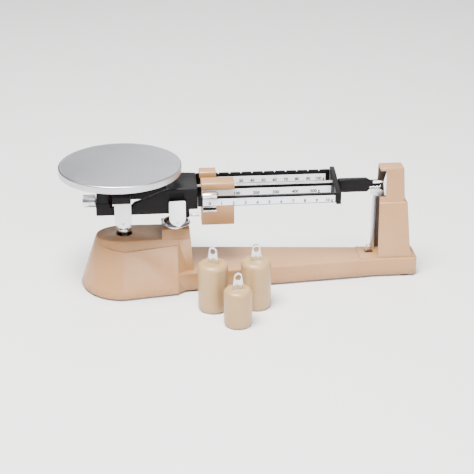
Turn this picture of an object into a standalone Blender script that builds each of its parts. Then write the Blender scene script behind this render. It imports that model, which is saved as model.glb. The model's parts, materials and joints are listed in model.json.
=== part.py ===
# Triple beam balance with three attachment weights.
# Layout: x along the beam with the pan's axis at x = 0, y to the back, z up from the bench.
# All sizes are in metres.
import math

import bmesh
import bpy
from mathutils import Matrix, Vector

# ---- driving dimensions -------------------------------------------------
GAP = 0.0003                 # between neighbours that touch
RUN_GAP = 0.0010             # between pieces that move past each other
ROUND_STEPS = 32             # sides of an ordinary round piece
SMALL_STEPS = 16             # sides of a screw, rivet or pin
PLAN_STEP = 7.5              # degrees between points of the pedestal's rounded end

# pan and its pivot
PAN_RADIUS = 0.076
PAN_TOP_Z = 0.160
PAN_RIM = 0.0088
PAN_SHEET = 0.0010
PAN_LIP_ROUND = 0.0020
PAN_STEPS = 72

# beam pivots
PIVOT_X = 0.0018             # pan pivot, a little right of the platform's centre
FULCRUM_X = 0.0685
KNIFE_Z = 0.110              # height of both knife edges
CHECK_Z = 0.045              # height of the check link's pivots
STATION_Y = 0.025            # bearing stations either side of the centre line

# base casting
FOOT_HEIGHT = 0.003
FOOT_RADIUS = 0.008
FOOT_BOSS = 0.010            # height of the pad over each foot
WALL = 0.003
PEDESTAL_LEFT = 0.055        # pan axis to the rounded end, at the bottom
PEDESTAL_FRONT = 0.0570      # half width at the pan axis, at the bottom
PEDESTAL_TOP_LEFT = 0.0335
PEDESTAL_TOP_FRONT = 0.0256
PEDESTAL_TOP_Z = 0.067
BLOCK_TOP_Z = 0.0775         # raised block that carries the fulcrum
BLOCK_LEFT_X = 0.0490
BLOCK_RIGHT_X = 0.0840
BLOCK_HALF = 0.0194           # at the block's top
BLOCK_DRAFT = 0.0042          # how much wider the block is where it meets the pedestal
PANEL_LOW_Z = 0.0545
PANEL_HIGH_Z = 0.0600
PANEL_PROUD = 0.0030         # lower panel's step over the upper wall
BED_END_X = 0.3765
BED_TOP_Z = 0.026
BED_NARROW_X = 0.305
BED_START_HALF = 0.0410
BED_END_HALF = 0.0186
PAD_LEFT_X = 0.302
PAD_HEIGHT = 0.0015
PLATE_THICK = 0.002

# fulcrum and pan bearing stations
RAIL_THICK = 0.006
STATION_HALF = 0.008         # station centre to the face its cover sits on
CHEEK_GAP = 0.001            # between a rail's side and a bearing's cheek
HANGER_LEG = 0.002
STATION_WIDTH = 0.014
WEB_LOW_Z = 0.091
WEB_TOP_Z = 0.097
BEARING_WEB = 0.0017
HANGER_LOW_Z = 0.1220
HANGER_TOP_Z = 0.1260
V_SPREAD = 1.3               # half width of a bearing's V for each unit of depth
BOSS_LOW_Z = 0.1470
RING_RADIUS = 0.0185
RING_WIDTH = 0.0030
RING_HEIGHT = 0.0040
COVER_WIDTH = 0.0204
COVER_THICK = 0.0018
PAN_COVER_LOW_Z = 0.0880
PAN_COVER_TOP_Z = 0.1210
FULCRUM_COVER_LOW_Z = 0.0893
FULCRUM_COVER_TOP_Z = 0.1220
RIVET_Z = 0.0940
RIVET_RADIUS = 0.0010
STEM_RADIUS = 0.0094
STEM_LOW_Z = 0.0370
COLLAR_LOW_Z = 0.0702        # collar just over the pedestal's hole
STEM_NECK = 0.0060
STEM_HOLE_RADIUS = 0.0105
PEG_RADIUS = 0.0030
LINK_Y = 0.0095              # check link's plane, beside the stem

# beam frame
FRAME_HALF = 0.028           # outer faces of the side rails
FRAME_LEFT_X = -0.031
FRAME_BLOCK_X = -0.011
FRAME_LOW_Z = 0.103
FRAME_RAIL_Z = 0.1135
FRAME_BLOCK_TOP_Z = 0.1200
FRAME_CREST_Z = 0.136
FRAME_CREST_X = 0.056
FRAME_RIGHT_X = 0.094
FRAME_END_LOW_Z = 0.108
KNIFE_SIZE = 0.006

# beams
BAR_END_X = 0.266
BAR_THICK = 0.003
FRONT_BAR_Y = -0.0242
CENTRE_BAR_Y = 0.0023
REAR_BAR_Y = 0.0288
FRONT_BAR_Z = (0.1100, 0.1220)
CENTRE_BAR_Z = (0.1120, 0.1280)
REAR_BAR_Z = (0.1180, 0.1330)
NOTCH_DEPTH = 0.0022
SCALE_THICK = 0.0005
SCALE_MARGIN = 0.0012        # bar's lower edge to the scale strip
SCALE_HEIGHT = 0.0088
FRONT_ZERO_X = 0.1088
CENTRE_ZERO_X = 0.1200
REAR_ZERO_X = 0.1092
CENTRE_TRAVEL = 0.1230       # 0 to 500 g
REAR_TRAVEL = 0.1435         # 0 to 100 g
CENTRE_STEPS = 5
REAR_STEPS = 10
CROSSHEAD_THICK = 0.006
ARM_THICK = 0.008
ARM_SHOULDER_X = 0.314
ARM_END_X = 0.328
ARM_LOW_Z = 0.1135
ARM_TOP_Z = 0.1310
TONGUE_LOW_Z = 0.1180
TONGUE_TOP_Z = 0.1276
POINTER_Z = 0.1272

# poises
POISE_WALL = 0.0045
CENTRE_POISE_WIDTH = 0.0412
CENTRE_POISE_Z = (0.0790, 0.1040, 0.1258, 0.1350)
CENTRE_POISE_FRONT = 0.0140  # bar centre to the front face
REAR_POISE_WIDTH = 0.0212
REAR_POISE_Z = (0.0960, 0.1130, 0.1305, 0.1385)
REAR_POISE_FRONT = 0.0105
RIDER_WIDTH = 0.0172
RIDER_Z = (0.1050, 0.1070, 0.1225, 0.1285)
RIDER_FRONT = 0.0065
POISE_BACK = 0.0030          # thickness of the spine behind a bar

# zero adjustment
KNOB_RADIUS = 0.008
KNOB_LENGTH = 0.0155
STUD_RADIUS = 0.0025
KNOB_Z = 0.112

# tower
TOWER_LEFT_X = 0.325
TOWER_FOOT_X = 0.371
TOWER_LOW_X = 0.3668
TOWER_STEP_X = 0.361
TOWER_UPPER_X = 0.3575
TOWER_TOP_X = 0.3545
TOWER_FOOT_HALF = 0.0175
TOWER_STEP_HALF = 0.0125
TOWER_UPPER_HALF = 0.0112
TOWER_TOP_HALF = 0.0100
TOWER_FLARE_Z = 0.035
TOWER_STEP_Z = 0.101
TOWER_TOP_Z = 0.147
TOWER_WALL = 0.002
TOWER_SCREW_X = 0.3565
CLIP_X = 0.3130
WINDOW_X = 0.333
WINDOW_Z = (0.1085, 0.1450)
VANE_X = (0.329, 0.345)
VANE_Z = (0.062, 0.112)
VANE_THICK = 0.001
MAGNET_GAP = 0.0050          # between its two poles
MAGNET_THICK = 0.0045
MAGNET_TOP_Z = 0.094
MAGNET_BASE = 0.006

# attachment weights: place, radius, height and the eye's turn in degrees
BIG_RADIUS = 0.0182
BIG_HEIGHT = 0.062
SMALL_RADIUS = 0.0165
SMALL_HEIGHT = 0.0475
WEIGHTS = {
    "left": (0.1085, -0.0855, BIG_RADIUS, BIG_HEIGHT, -24),
    "right": (0.1610, -0.0825, BIG_RADIUS, BIG_HEIGHT, 4),
    "front": (0.1350, -0.1285, SMALL_RADIUS, SMALL_HEIGHT, 10),
}
WEIGHT_FLARE = 0.0004        # lower rim's width over the body
EYE_WIDTH = 0.0132
EYE_HEIGHT = 0.0210          # above the weight's top
EYE_HOLE = 0.0036
EYE_THICK = 0.0018
EYE_SET = 0.006              # depth of the eye's slot

MATERIALS = {
    "beige_paint": ((0.60, 0.45, 0.33), 0.0, 0.45),
    "black_paint": ((0.035, 0.032, 0.036), 0.1, 0.40),
    "white_plastic": ((0.86, 0.85, 0.88), 0.0, 0.35),
    "stainless": ((0.62, 0.62, 0.64), 1.0, 0.28),
    "bright_steel": ((0.70, 0.70, 0.72), 1.0, 0.20),
    "scale_white": ((0.82, 0.86, 0.90), 0.0, 0.45),
    "knife_steel": ((0.32, 0.33, 0.36), 1.0, 0.30),
    "bearing_stone": ((0.45, 0.10, 0.08), 0.0, 0.25),
    "aluminium": ((0.72, 0.72, 0.74), 1.0, 0.38),
    "magnet_grey": ((0.16, 0.16, 0.17), 0.3, 0.55),
    "rubber": ((0.03, 0.03, 0.03), 0.0, 0.80),
    "weight_paint": ((0.66, 0.54, 0.40), 0.0, 0.42),
}

# the row's origin: middle of the whole model's plan, on the bench
FRONT_WEIGHT = WEIGHTS["front"]
ORIGIN = Vector((
    (BED_END_X - PAN_RADIUS) / 2,
    (PAN_RADIUS + FRONT_WEIGHT[1] - FRONT_WEIGHT[2] - WEIGHT_FLARE) / 2,
    0.0,
))


# ---- helpers ------------------------------------------------------------
for old in list(bpy.data.objects):
    bpy.data.objects.remove(old, do_unlink=True)

parts = bpy.data.collections.new("triple_beam_balance")
cutters = bpy.data.collections.new("cutters")
bpy.context.scene.collection.children.link(parts)
bpy.context.scene.collection.children.link(cutters)
spots = {}


def axis_empty(name, at, parent=None):
    """An empty on a joint's axis, which its pieces are placed from."""
    empty = bpy.data.objects.new(name, None)
    parts.objects.link(empty)
    empty.empty_display_size = 0.01
    base = Vector(spots[parent.name]) if parent else ORIGIN
    empty.parent = parent
    empty.location = Vector(at) - base
    spots[empty.name] = Vector(at)
    return empty


def make_material(name):
    colour, metallic, roughness = MATERIALS[name]
    made = bpy.data.materials.new(name)
    made.use_nodes = True
    shader = made.node_tree.nodes["Principled BSDF"]
    shader.inputs["Base Color"].default_value = (*colour, 1.0)
    shader.inputs["Metallic"].default_value = metallic
    shader.inputs["Roughness"].default_value = roughness
    return made


finishes = {name: make_material(name) for name in MATERIALS}


def add_object(name, mesh, owner, at=(0, 0, 0), turn=(0, 0, 0), finish=None):
    made = bpy.data.objects.new(name, mesh)
    (parts if finish else cutters).objects.link(made)
    made.parent = owner
    made.location = Vector(at) - spots[owner.name]
    made.rotation_euler = turn
    if finish:
        mesh.materials.append(finishes[finish])
        for face in mesh.polygons:
            face.use_smooth = True
        mesh.set_sharp_from_angle(angle=math.radians(35))
    else:
        made.hide_render = True
        made.display_type = "WIRE"
    return made


def evaluated_mesh(source, name):
    bpy.context.view_layer.update()
    graph = bpy.context.evaluated_depsgraph_get()
    return bpy.data.meshes.new_from_object(source.evaluated_get(graph), depsgraph=graph)


def box_mesh(name, size):
    mesh = bpy.data.meshes.new(name)
    form = bmesh.new()
    bmesh.ops.create_cube(form, size=1.0)
    bmesh.ops.scale(form, vec=Vector(size), verts=form.verts)
    form.to_mesh(mesh)
    form.free()
    return mesh


def span_box(name, owner, low, high, finish=None):
    """A box between two opposite corners."""
    low, high = Vector(low), Vector(high)
    return add_object(name, box_mesh(name, high - low), owner, (low + high) / 2, finish=finish)


TURNS = {
    "z": Matrix.Identity(3),
    "x": Matrix(((0, 0, 1), (0, 1, 0), (-1, 0, 0))),
    "y": Matrix(((1, 0, 0), (0, 0, 1), (0, -1, 0))),
}


def rod_mesh(name, radius, length, along="z", steps=ROUND_STEPS):
    mesh = bpy.data.meshes.new(name)
    form = bmesh.new()
    bmesh.ops.create_cone(form, cap_ends=True, segments=steps, radius1=radius, radius2=radius,
                          depth=length)
    form.transform(TURNS[along].to_4x4())
    form.to_mesh(mesh)
    form.free()
    return mesh


def rod(name, owner, centre, radius, length, along="z", finish=None, steps=ROUND_STEPS):
    return add_object(name, rod_mesh(name, radius, length, along, steps), owner, centre,
                      finish=finish)


def turned(name, owner, centre, profile, along="z", finish=None, steps=ROUND_STEPS, closed=False):
    """A turned piece; the profile is (radius, height) pairs that run down its outer side."""
    mesh = bpy.data.meshes.new(name)
    form = bmesh.new()
    points = [form.verts.new((radius, 0, height)) for radius, height in profile]
    for first, second in zip(points, points[1:]):
        form.edges.new((first, second))
    if closed:
        form.edges.new((points[-1], points[0]))
    form.to_mesh(mesh)
    form.free()
    spun = bpy.data.objects.new(name + "_profile", mesh)
    bpy.context.scene.collection.objects.link(spun)
    screw = spun.modifiers.new("screw", "SCREW")
    screw.steps = steps
    screw.render_steps = steps
    screw.use_merge_vertices = True
    screw.merge_threshold = 0.00001
    result = evaluated_mesh(spun, name)
    bpy.data.objects.remove(spun)
    result.name = name
    result.transform(TURNS[along].to_4x4())
    form = bmesh.new()
    form.from_mesh(result)
    face_outward(form)
    form.to_mesh(result)
    form.free()
    return add_object(name, result, owner, centre, finish=finish)


PLANES = {
    "xy": Matrix.Identity(3),
    "xz": Matrix(((1, 0, 0), (0, 0, -1), (0, 1, 0))),
    "yz": Matrix(((0, 0, 1), (1, 0, 0), (0, 1, 0))),
}


def face_outward(form):
    bmesh.ops.recalc_face_normals(form, faces=form.faces)
    if form.calc_volume(signed=True) < 0:
        bmesh.ops.reverse_faces(form, faces=form.faces)


def outline_mesh(name, points, thickness, plane):
    """A flat filled outline, extruded either side of its plane."""
    curve = bpy.data.curves.new(name, "CURVE")
    curve.dimensions = "2D"
    curve.fill_mode = "BOTH"
    curve.extrude = thickness / 2
    loops = points if isinstance(points[0][0], (tuple, list)) else [points]
    for loop in loops:
        spline = curve.splines.new("POLY")
        spline.points.add(len(loop) - 1)
        for point, (across, up) in zip(spline.points, loop):
            point.co = (across, up, 0, 1)
        spline.use_cyclic_u = True
    drawn = bpy.data.objects.new(name + "_outline", curve)
    bpy.context.scene.collection.objects.link(drawn)
    mesh = evaluated_mesh(drawn, name)
    mesh.name = name
    bpy.data.objects.remove(drawn)
    form = bmesh.new()
    form.from_mesh(mesh)
    bmesh.ops.remove_doubles(form, verts=form.verts, dist=0.000002)
    form.transform(PLANES[plane].to_4x4())
    face_outward(form)
    form.to_mesh(mesh)
    form.free()
    return mesh


def outlined(name, owner, points, thickness, plane, at=(0, 0, 0), finish=None, turn=(0, 0, 0)):
    mesh = outline_mesh(name, points, thickness, plane)
    return add_object(name, mesh, owner, at, turn, finish)


def loft(name, owner, sections, finish=None):
    """A skin through plan outlines of equal count, each given with its height."""
    mesh = bpy.data.meshes.new(name)
    form = bmesh.new()
    rings = [[form.verts.new((x, y, z)) for x, y in outline] for z, outline in sections]
    for lower, upper in zip(rings, rings[1:]):
        for i in range(len(lower)):
            j = (i + 1) % len(lower)
            form.faces.new((lower[i], lower[j], upper[j], upper[i]))
    form.faces.new(list(reversed(rings[0])))
    form.faces.new(rings[-1])
    face_outward(form)
    bmesh.ops.triangulate(form, faces=[face for face in form.faces if len(face.verts) == 4])
    form.to_mesh(mesh)
    form.free()
    return add_object(name, mesh, owner, (0, 0, 0), finish=finish)


def combine(target, tool, operation):
    change = target.modifiers.new(tool.name, "BOOLEAN")
    change.operation = operation
    change.solver = "EXACT"
    change.object = tool


def cut(target, tool):
    combine(target, tool, "DIFFERENCE")


def fuse(target, tool):
    combine(target, tool, "UNION")


def round_edges(target, width, segments=2, angle=40):
    soft = target.modifiers.new("soft_edges", "BEVEL")
    soft.width = width
    soft.segments = segments
    soft.limit_method = "ANGLE"
    soft.angle_limit = math.radians(angle)


def arc(centre, radius, start, end, count):
    """Points along an arc, angles in degrees, both ends included."""
    steps = [start + (end - start) * i / (count - 1) for i in range(count)]
    return [(centre[0] + radius * math.cos(math.radians(a)),
             centre[1] + radius * math.sin(math.radians(a))) for a in steps]


def mirrored(half):
    """A closed plan from its front half, listed left to right."""
    return half + [(x, -y) for x, y in reversed(half)]


base = axis_empty("base_frame", (0, 0, 0))
base.location = -ORIGIN
beam = axis_empty("beam_axis", (FULCRUM_X, 0, KNIFE_Z), base)
carrier = axis_empty("carrier_axis", (PIVOT_X, 0, KNIFE_Z), beam)
link = axis_empty("check_link_axis", (FULCRUM_X, 0, CHECK_Z), base)


# ---- base casting -------------------------------------------------------
def pedestal_plan(left, front, corner, shoulder, inset=0.0):
    """Rounded at the left, tapering to a corner, then a chamfer to the shoulder."""
    turns = [math.radians(PLAN_STEP * (i + 0.5)) for i in range(int(90 / PLAN_STEP))]
    half = [(-(left - inset) * math.cos(a), -(front - inset) * math.sin(a)) for a in turns]
    half.append((0.0, -(front - inset)))
    half.append((corner[0] - inset, -corner[1] + inset))
    half.append((shoulder[0] - inset, -shoulder[1] + inset))
    return mirrored(half)


def pedestal_section(z, inset=0.0, proud=0.0):
    tuck = 0.0007 if proud else 0.0
    bottom = pedestal_plan(PEDESTAL_LEFT - tuck, PEDESTAL_FRONT + proud, (FULCRUM_X, 0.0465 + proud),
                           (BLOCK_RIGHT_X + 0.005, 0.034), inset)
    top = pedestal_plan(PEDESTAL_TOP_LEFT - tuck, PEDESTAL_TOP_FRONT + proud, (FULCRUM_X, 0.0240 + proud),
                        (BLOCK_RIGHT_X + 0.0007, 0.0235), inset)
    place = (z - FOOT_HEIGHT) / (PEDESTAL_TOP_Z - FOOT_HEIGHT)
    plan = [(p[0] + (q[0] - p[0]) * place, p[1] + (q[1] - p[1]) * place) for p, q in zip(bottom, top)]
    return (z, plan)


def bed_plan(inset=0.0):
    end = BED_END_X - inset
    half = [(0.060, -BED_START_HALF - 0.0015 + inset), (0.078, -BED_START_HALF + inset),
            (BED_NARROW_X, -BED_END_HALF - 0.0016 + inset),
            (BED_NARROW_X + 0.012, -BED_END_HALF + inset),
            (end - 0.004, -BED_END_HALF + inset), (end, -BED_END_HALF + 0.004 + inset)]
    return mirrored(half)


def block_plan(left, right, half):
    return mirrored([(left, -half), (right, -half + 0.0010)])


def foot_places():
    return {"front_left": (-0.020, -0.0395), "rear_left": (-0.020, 0.0395),
            "front_right": (0.362, -0.0095), "rear_right": (0.362, 0.0095)}


def make_base_casting():
    under = FOOT_HEIGHT - 0.002
    top_rows = [pedestal_section(PEDESTAL_TOP_Z - 0.0020), pedestal_section(PEDESTAL_TOP_Z - 0.0006, 0.0006),
                pedestal_section(PEDESTAL_TOP_Z, 0.0020)]
    casting = loft("base_casting", base, [pedestal_section(under)] + top_rows, "beige_paint")
    panel = loft("panel_skin", base, [pedestal_section(under + 0.0003, 0, PANEL_PROUD),
                                      pedestal_section(PEDESTAL_TOP_Z - 0.0021, 0, PANEL_PROUD)])
    panel_face = [(-0.080, 0.0), (FULCRUM_X - 0.0005, 0.0), (FULCRUM_X - 0.0005, PANEL_HIGH_Z),
                  (0.005, PANEL_LOW_Z), (-0.024, PANEL_HIGH_Z - 0.0010), (-0.080, PANEL_HIGH_Z - 0.0010)]
    frame = outlined("panel_frame", base, panel_face, 0.2, "xz")
    combine(panel, frame, "INTERSECT")
    fuse(casting, panel)
    block_low = PEDESTAL_TOP_Z - 0.004
    slope = BLOCK_DRAFT / (BLOCK_TOP_Z - PEDESTAL_TOP_Z)
    raised = loft("raised_block", base, [
        (block_low, block_plan(BLOCK_LEFT_X, BLOCK_RIGHT_X, BLOCK_HALF + slope * (BLOCK_TOP_Z - block_low))),
        (BLOCK_TOP_Z - 0.0010, block_plan(BLOCK_LEFT_X, BLOCK_RIGHT_X, BLOCK_HALF)),
        (BLOCK_TOP_Z, block_plan(BLOCK_LEFT_X + 0.0010, BLOCK_RIGHT_X - 0.0010, BLOCK_HALF - 0.0012))])
    fuse(casting, raised)
    bed = loft("bed", base, [(under + 0.0006, bed_plan()), (BED_TOP_Z - 0.0012, bed_plan()),
                             (BED_TOP_Z, bed_plan(0.0012))])
    fuse(casting, bed)
    pad_half = [(PAD_LEFT_X, -BED_END_HALF + 0.0002), (BED_NARROW_X + 0.012, -BED_END_HALF + 0.0016),
                (BED_END_X - 0.0055, -BED_END_HALF + 0.0016), (BED_END_X - 0.0018, -BED_END_HALF + 0.0054)]
    pad = outlined("pad", base, mirrored(pad_half), PAD_HEIGHT * 2, "xy", (0, 0, BED_TOP_Z))
    fuse(casting, pad)
    hollow = loft("pedestal_hollow", base, [pedestal_section(under - 0.003, WALL),
                                            pedestal_section(PEDESTAL_TOP_Z - WALL, WALL)])
    cut(casting, hollow)
    trough = loft("bed_hollow", base, [(under - 0.002, bed_plan(WALL)), (BED_TOP_Z - WALL, bed_plan(WALL))])
    cut(casting, trough)
    trim = span_box("underside_trim", base, (-0.2, -0.2, -0.02), (0.5, 0.2, FOOT_HEIGHT))
    cut(casting, trim)
    for label, (x, y) in foot_places().items():
        fuse(casting, rod(f"foot_boss_{label}", base, (x, y, FOOT_HEIGHT + FOOT_BOSS / 2),
                          FOOT_RADIUS - 0.0005, FOOT_BOSS, steps=24))
    pocket = span_box("block_hollow", base,
                      (BLOCK_LEFT_X + WALL, -BLOCK_HALF + WALL, PEDESTAL_TOP_Z - WALL - 0.006),
                      (BLOCK_RIGHT_X - WALL, BLOCK_HALF - WALL, BLOCK_TOP_Z - WALL))
    cut(casting, pocket)
    cut(casting, rod("stem_hole", base, (PIVOT_X, 0, PEDESTAL_TOP_Z), STEM_HOLE_RADIUS, 0.02))
    slot = span_box("clip_slot", base, (0.311, -0.001, BED_TOP_Z - 0.006),
                    (0.3225, 0.0075, BED_TOP_Z + 0.006))
    cut(casting, slot)
    hole = rod("tower_screw_hole", base, (TOWER_SCREW_X, 0, BED_TOP_Z), 0.0018, 0.02, steps=SMALL_STEPS)
    cut(casting, hole)


def make_feet():
    """Rubber feet on stems that press up into pads inside the casting's rim."""
    profile = [(0, FOOT_HEIGHT - GAP), (FOOT_RADIUS, FOOT_HEIGHT - GAP), (FOOT_RADIUS, 0.0008),
               (FOOT_RADIUS - 0.0008, 0), (0, 0)]
    for label, (x, y) in foot_places().items():
        turned(f"foot_{label}", base, (x, y, 0), profile, finish="rubber", steps=24)


# ---- bearing stations ---------------------------------------------------
def v_notch(target, name, owner, x, mouth_z, edge_z):
    """A V across the bearing, wider than the knife so that it can rock."""
    rise = abs(mouth_z - edge_z) + 0.001
    far = edge_z + math.copysign(rise, mouth_z - edge_z)
    section = [(x, edge_z), (x - rise * V_SPREAD, far), (x + rise * V_SPREAD, far)]
    cut(target, outlined(name, owner, section, 0.2, "xz"))


def cover_outline(low, high, x):
    """A tab with a half-round lower end."""
    radius = COVER_WIDTH / 2
    return arc((x, low + radius), radius, 180, 360, 17) + [(x + radius, high - 0.0012),
                                                           (x + radius - 0.0012, high),
                                                           (x - radius + 0.0012, high),
                                                           (x - radius, high - 0.0012)]


def make_covers(prefix, owner, x, low, high):
    middle = STATION_Y + STATION_HALF + GAP + COVER_THICK / 2
    for side, label in ((-1, "front"), (1, "rear")):
        cover = outlined(f"{prefix}_cover_{label}", owner, cover_outline(low, high, x), COVER_THICK,
                         "xz", (0, side * middle, 0), "white_plastic")
        hole = rod(f"{prefix}_cover_hole_{label}", owner, (x, side * middle, RIVET_Z),
                   RIVET_RADIUS + GAP, 0.01, "y", steps=SMALL_STEPS)
        cut(cover, hole)
        make_rivet(f"{prefix}_rivet_{label}", owner, x, side, middle)


def make_rivet(name, owner, x, side, middle):
    head = middle + COVER_THICK / 2 + GAP
    profile = [(0, 0.0009), (0.0010, 0.0007), (0.0017, 0.0), (RIVET_RADIUS, 0.0),
               (RIVET_RADIUS, -0.0035), (0, -0.0035)]
    made = turned(name, owner, (x, side * head, RIVET_Z), profile, finish="bright_steel",
                  steps=SMALL_STEPS)
    made.rotation_euler = (-side * math.pi / 2, 0, 0)


def rivet_pocket(target, name, owner, x, side):
    """Blind hole for a cover's rivet."""
    face = STATION_Y + STATION_HALF
    hole = rod(name, owner, (x, side * face, RIVET_Z), RIVET_RADIUS + GAP, 0.006, "y",
               steps=SMALL_STEPS)
    cut(target, hole)


def make_fulcrum():
    """A central column whose crossbar carries a bearing arm outside each rail."""
    arm_in = STATION_Y + RAIL_THICK / 2 + CHEEK_GAP
    arm_out = STATION_Y + STATION_HALF
    foot_low = BLOCK_TOP_Z + GAP
    top = KNIFE_Z + 0.0020
    section = ([(-arm_out, WEB_LOW_Z), (arm_out, WEB_LOW_Z), (arm_out, top), (arm_in, top),
                (arm_in, WEB_TOP_Z), (-arm_in, WEB_TOP_Z), (-arm_in, top), (-arm_out, top)])
    bracket = outlined("fulcrum_bracket", base, section, STATION_WIDTH, "yz", (FULCRUM_X, 0, 0),
                       "knife_steel")
    column = [(0, WEB_LOW_Z + 0.002), (0.0070, WEB_LOW_Z + 0.002), (0.0070, foot_low + 0.0022),
              (0.0125, foot_low + 0.0018), (0.0125, foot_low), (0, foot_low)]
    fuse(bracket, turned("bracket_column", base, (FULCRUM_X, 0, 0), column))
    v_notch(bracket, "bracket_notch", base, FULCRUM_X, top, KNIFE_Z - GAP)
    for side, label in ((-1, "front"), (1, "rear")):
        rivet_pocket(bracket, f"bracket_pocket_{label}", base, FULCRUM_X, side)
    ring_inner = RING_RADIUS - RING_WIDTH
    ring = [(ring_inner, foot_low + RING_HEIGHT), (ring_inner + 0.0012, foot_low + RING_HEIGHT),
            (ring_inner + 0.0015, foot_low + RING_HEIGHT - 0.0012),
            (RING_RADIUS - 0.0004, foot_low + RING_HEIGHT - 0.0016),
            (RING_RADIUS, foot_low + RING_HEIGHT - 0.0022), (RING_RADIUS, foot_low),
            (ring_inner, foot_low)]
    turned("fulcrum_ring", base, (FULCRUM_X - 0.0012, 0, 0), ring, finish="bright_steel",
           closed=True, steps=36)
    make_covers("fulcrum", base, FULCRUM_X, FULCRUM_COVER_LOW_Z, FULCRUM_COVER_TOP_Z)


def make_check_link():
    """Parallel link inside the pedestal that keeps the pan's stems upright."""
    roof = BLOCK_TOP_Z - WALL - GAP
    lug = 0.0045
    section = [(-lug - 0.002, CHECK_Z - 0.007), (-lug, CHECK_Z - 0.007), (-lug, roof - 0.002),
               (lug, roof - 0.002), (lug, CHECK_Z - 0.007), (lug + 0.002, CHECK_Z - 0.007),
               (lug + 0.002, roof - 0.0001), (-lug - 0.002, roof - 0.0001)]
    bracket = outlined("check_link_bracket", base, section, 0.012, "yz", (FULCRUM_X, 0, 0),
                       "bright_steel")
    hole = rod("bracket_hole", base, (FULCRUM_X, 0, CHECK_Z), 0.002 + GAP, 0.03, "y",
               steps=SMALL_STEPS)
    cut(bracket, hole)
    pin_left = -0.008
    pin_right = LINK_Y + 0.003
    rod("check_link_pin", base, (FULCRUM_X, (pin_left + pin_right) / 2, CHECK_Z), 0.002,
        pin_right - pin_left, "y", "knife_steel", SMALL_STEPS)
    right = arc((FULCRUM_X, CHECK_Z), 0.006, -60, 60, 9)
    left = arc((PIVOT_X, CHECK_Z), 0.007, 120, 240, 9)
    bar = outlined("check_link", link, right + left, 0.003, "xz", (0, LINK_Y, 0), "aluminium")
    cut(bar, rod("link_pin_hole", link, (FULCRUM_X, LINK_Y, CHECK_Z), 0.002 + GAP, 0.02, "y",
                 steps=SMALL_STEPS))
    cut(bar, rod("link_peg_hole", link, (PIVOT_X, LINK_Y, CHECK_Z), PEG_RADIUS + RUN_GAP, 0.02, "y",
                 steps=SMALL_STEPS))


def make_pan_carrier():
    """A central stem, whose crossbar closes the hanger's loop under the beam."""
    reach = STATION_Y + STATION_HALF
    half_width = STATION_WIDTH / 2
    stem = span_box("pan_stem", carrier, (PIVOT_X - half_width, -reach, WEB_LOW_Z),
                    (PIVOT_X + half_width, reach, WEB_TOP_Z), "bright_steel")
    collar = COLLAR_LOW_Z
    profile = [(0, WEB_LOW_Z + 0.001), (STEM_NECK, WEB_LOW_Z + 0.001), (STEM_NECK, collar + 0.0050),
               (STEM_RADIUS - 0.0008, collar + 0.0050), (STEM_RADIUS, collar + 0.0042),
               (STEM_RADIUS, collar + 0.0010), (STEM_RADIUS - 0.0010, collar), (STEM_NECK, collar),
               (STEM_NECK, STEM_LOW_Z), (0, STEM_LOW_Z)]
    fuse(stem, turned("stem_column", carrier, (PIVOT_X, 0, 0), profile))
    peg_reach = LINK_Y + 0.003
    fuse(stem, rod("stem_peg", carrier, (PIVOT_X, peg_reach / 2, CHECK_Z), PEG_RADIUS, peg_reach, "y",
                   steps=SMALL_STEPS))
    for side, label in ((-1, "front"), (1, "rear")):
        rivet_pocket(stem, f"stem_pocket_{label}", carrier, PIVOT_X, side)
        make_pan_bearing(f"pan_bearing_{label}", side * STATION_Y)
    make_covers("pan", carrier, PIVOT_X, PAN_COVER_LOW_Z, PAN_COVER_TOP_Z)
    make_pan_hanger()


def make_pan_bearing(name, y):
    """Inverted fork that hangs on the knife either side of a rail."""
    inner = RAIL_THICK / 2 + CHEEK_GAP
    outer = STATION_HALF - HANGER_LEG - GAP
    low = KNIFE_Z - 0.0020
    top = HANGER_LOW_Z - GAP
    section = [(-outer, low), (-inner, low), (-inner, top - BEARING_WEB), (inner, top - BEARING_WEB),
               (inner, low), (outer, low), (outer, top), (-outer, top)]
    bearing = outlined(name, carrier, section, STATION_WIDTH - 0.002, "yz", (PIVOT_X, y, 0),
                       "bearing_stone")
    v_notch(bearing, name + "_notch", carrier, PIVOT_X, low, KNIFE_Z + GAP)


def make_pan_hanger():
    """Crown over both stations with a leg outside each and a skirt over the covers."""
    leg_out = STATION_Y + STATION_HALF
    leg_in = leg_out - HANGER_LEG
    leg_low = WEB_TOP_Z + GAP
    half = [(leg_out, HANGER_TOP_Z), (leg_out, leg_low), (leg_in, leg_low), (leg_in, HANGER_LOW_Z)]
    section = half + [(-y, z) for y, z in reversed(half)]
    hanger = outlined("pan_hanger", carrier, section, STATION_WIDTH, "yz", (PIVOT_X, 0, 0), "black_paint")
    skirt_out = leg_out + GAP + 0.0026
    low = PAN_COVER_TOP_Z + GAP
    top = HANGER_TOP_Z + 0.0065
    crown_half = [(skirt_out - 0.003, top), (skirt_out, top - 0.003), (skirt_out, low),
                  (leg_out - 0.0010, low), (leg_out - 0.0010, HANGER_TOP_Z - 0.0010)]
    crown_section = crown_half + [(-y, z) for y, z in reversed(crown_half)]
    crown = outlined("hanger_crown", carrier, crown_section, 0.022, "yz", (0.0008, 0, 0))
    fuse(hanger, crown)
    spigot_top = PAN_TOP_Z - PAN_SHEET - 0.0035
    hub = turned("hanger_hub", carrier, (0, 0, 0),
                 [(0, spigot_top), (0.0035, spigot_top), (0.0045, spigot_top - 0.001),
                  (0.0045, BOSS_LOW_Z), (0.0120, BOSS_LOW_Z), (0.0135, BOSS_LOW_Z - 0.0015),
                  (0.0150, top - 0.002), (0, top - 0.002)])
    fuse(hanger, hub)


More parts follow.
